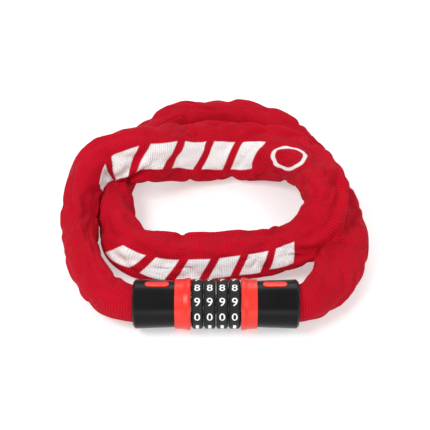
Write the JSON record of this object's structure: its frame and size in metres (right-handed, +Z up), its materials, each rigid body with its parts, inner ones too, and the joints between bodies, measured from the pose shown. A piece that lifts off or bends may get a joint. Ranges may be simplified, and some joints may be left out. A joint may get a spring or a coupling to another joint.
{
  "type": "combination chain lock",
  "caption": "Barrel lock with number dials on a square-link chain in a ribbed red fabric sleeve, laid in a loose coil.",
  "frame": {"origin": "under the middle of the lock barrel, on the surface that it lies on", "axes": "+X along the barrel, +Y from the barrel towards the back of the coiled chain, +Z up"},
  "size_m": [0.2377, 0.2481, 0.0595],
  "materials": {
    "black_plastic": "satin black moulded ABS with a soft gloss",
    "red_plastic": "bright orange-red moulded plastic, satin gloss",
    "dial_plastic": "black moulded plastic, finely grained",
    "digit_print": "white printed numbers",
    "zinc_casting": "zinc die casting",
    "bright_steel": "plated steel",
    "brass_tumbler": "turned brass",
    "chain_steel": "hardened square bar, zinc plated",
    "red_fabric": "crimson ribbed polyester sleeve with white printed bars"
  },
  "bodies": {
    "lock_body": {"left_cap": "black_plastic", "left_collar": "red_plastic", "left_grip_insert": "red_plastic", "left_end_body": "zinc_casting", "left_chain_pin": "bright_steel", "left_sleeve_ring": "bright_steel", "core_tube": "bright_steel", "tube_roll_pin": "bright_steel", "dial_retainer": "bright_steel", "detent_spring": "bright_steel", "chain_long_run": "chain_steel", "fabric_sleeve": "red_fabric", "fabric_sleeve_tail": "red_fabric"},
    "dial_1_body": {"dial_1": "dial_plastic", "tumbler_1": "brass_tumbler"},
    "dial_2_body": {"dial_2": "dial_plastic", "tumbler_2": "brass_tumbler"},
    "dial_3_body": {"dial_3": "dial_plastic", "tumbler_3": "brass_tumbler"},
    "dial_4_body": {"dial_4": "dial_plastic", "tumbler_4": "brass_tumbler"},
    "bolt_end": {"right_cap": "black_plastic", "right_collar": "red_plastic", "right_grip_insert": "red_plastic", "right_end_body": "zinc_casting", "locking_bolt": "bright_steel", "bolt_roll_pin": "bright_steel", "right_chain_pin": "bright_steel", "right_sleeve_ring": "bright_steel"},
    "side_links": {"chain_side_run": "chain_steel"},
    "front_links": {"chain_front_run": "chain_steel"}
  },
  "joints": [
    {"name": "dial_1_turn", "type": "hinge", "parent": "lock_body", "child": "dial_1_body", "pos_m": [0, 0, 0.0188], "axis": [1, 0, 0], "continuous": true},
    {"name": "dial_2_turn", "type": "hinge", "parent": "lock_body", "child": "dial_2_body", "pos_m": [0, 0, 0.0188], "axis": [1, 0, 0], "continuous": true},
    {"name": "dial_3_turn", "type": "hinge", "parent": "lock_body", "child": "dial_3_body", "pos_m": [0, 0, 0.0188], "axis": [1, 0, 0], "continuous": true},
    {"name": "dial_4_turn", "type": "hinge", "parent": "lock_body", "child": "dial_4_body", "pos_m": [0, 0, 0.0188], "axis": [1, 0, 0], "continuous": true},
    {"name": "bolt_slide", "type": "slide", "parent": "lock_body", "child": "bolt_end", "axis": [1, 0, 0], "range_m": [0, 0.042], "deforming": ["fabric_sleeve_tail"]},
    {"name": "side_links_swing", "type": "hinge", "parent": "lock_body", "child": "side_links", "pos_m": [0.08269, 0.14917, 0.0144], "axis": [0, 0, 1], "range_deg": [0, 20]},
    {"name": "front_links_swing", "type": "hinge", "parent": "bolt_end", "child": "front_links", "pos_m": [0.046, 0, 0.0188], "axis": [0, 0, 1], "range_deg": [0, 20]}
  ],
  "couplings": [
    {"joint": "side_links_swing", "follows": "bolt_slide", "rad_per_m": 7.36},
    {"joint": "front_links_swing", "follows": "bolt_slide", "rad_per_m": 4.16}
  ]
}
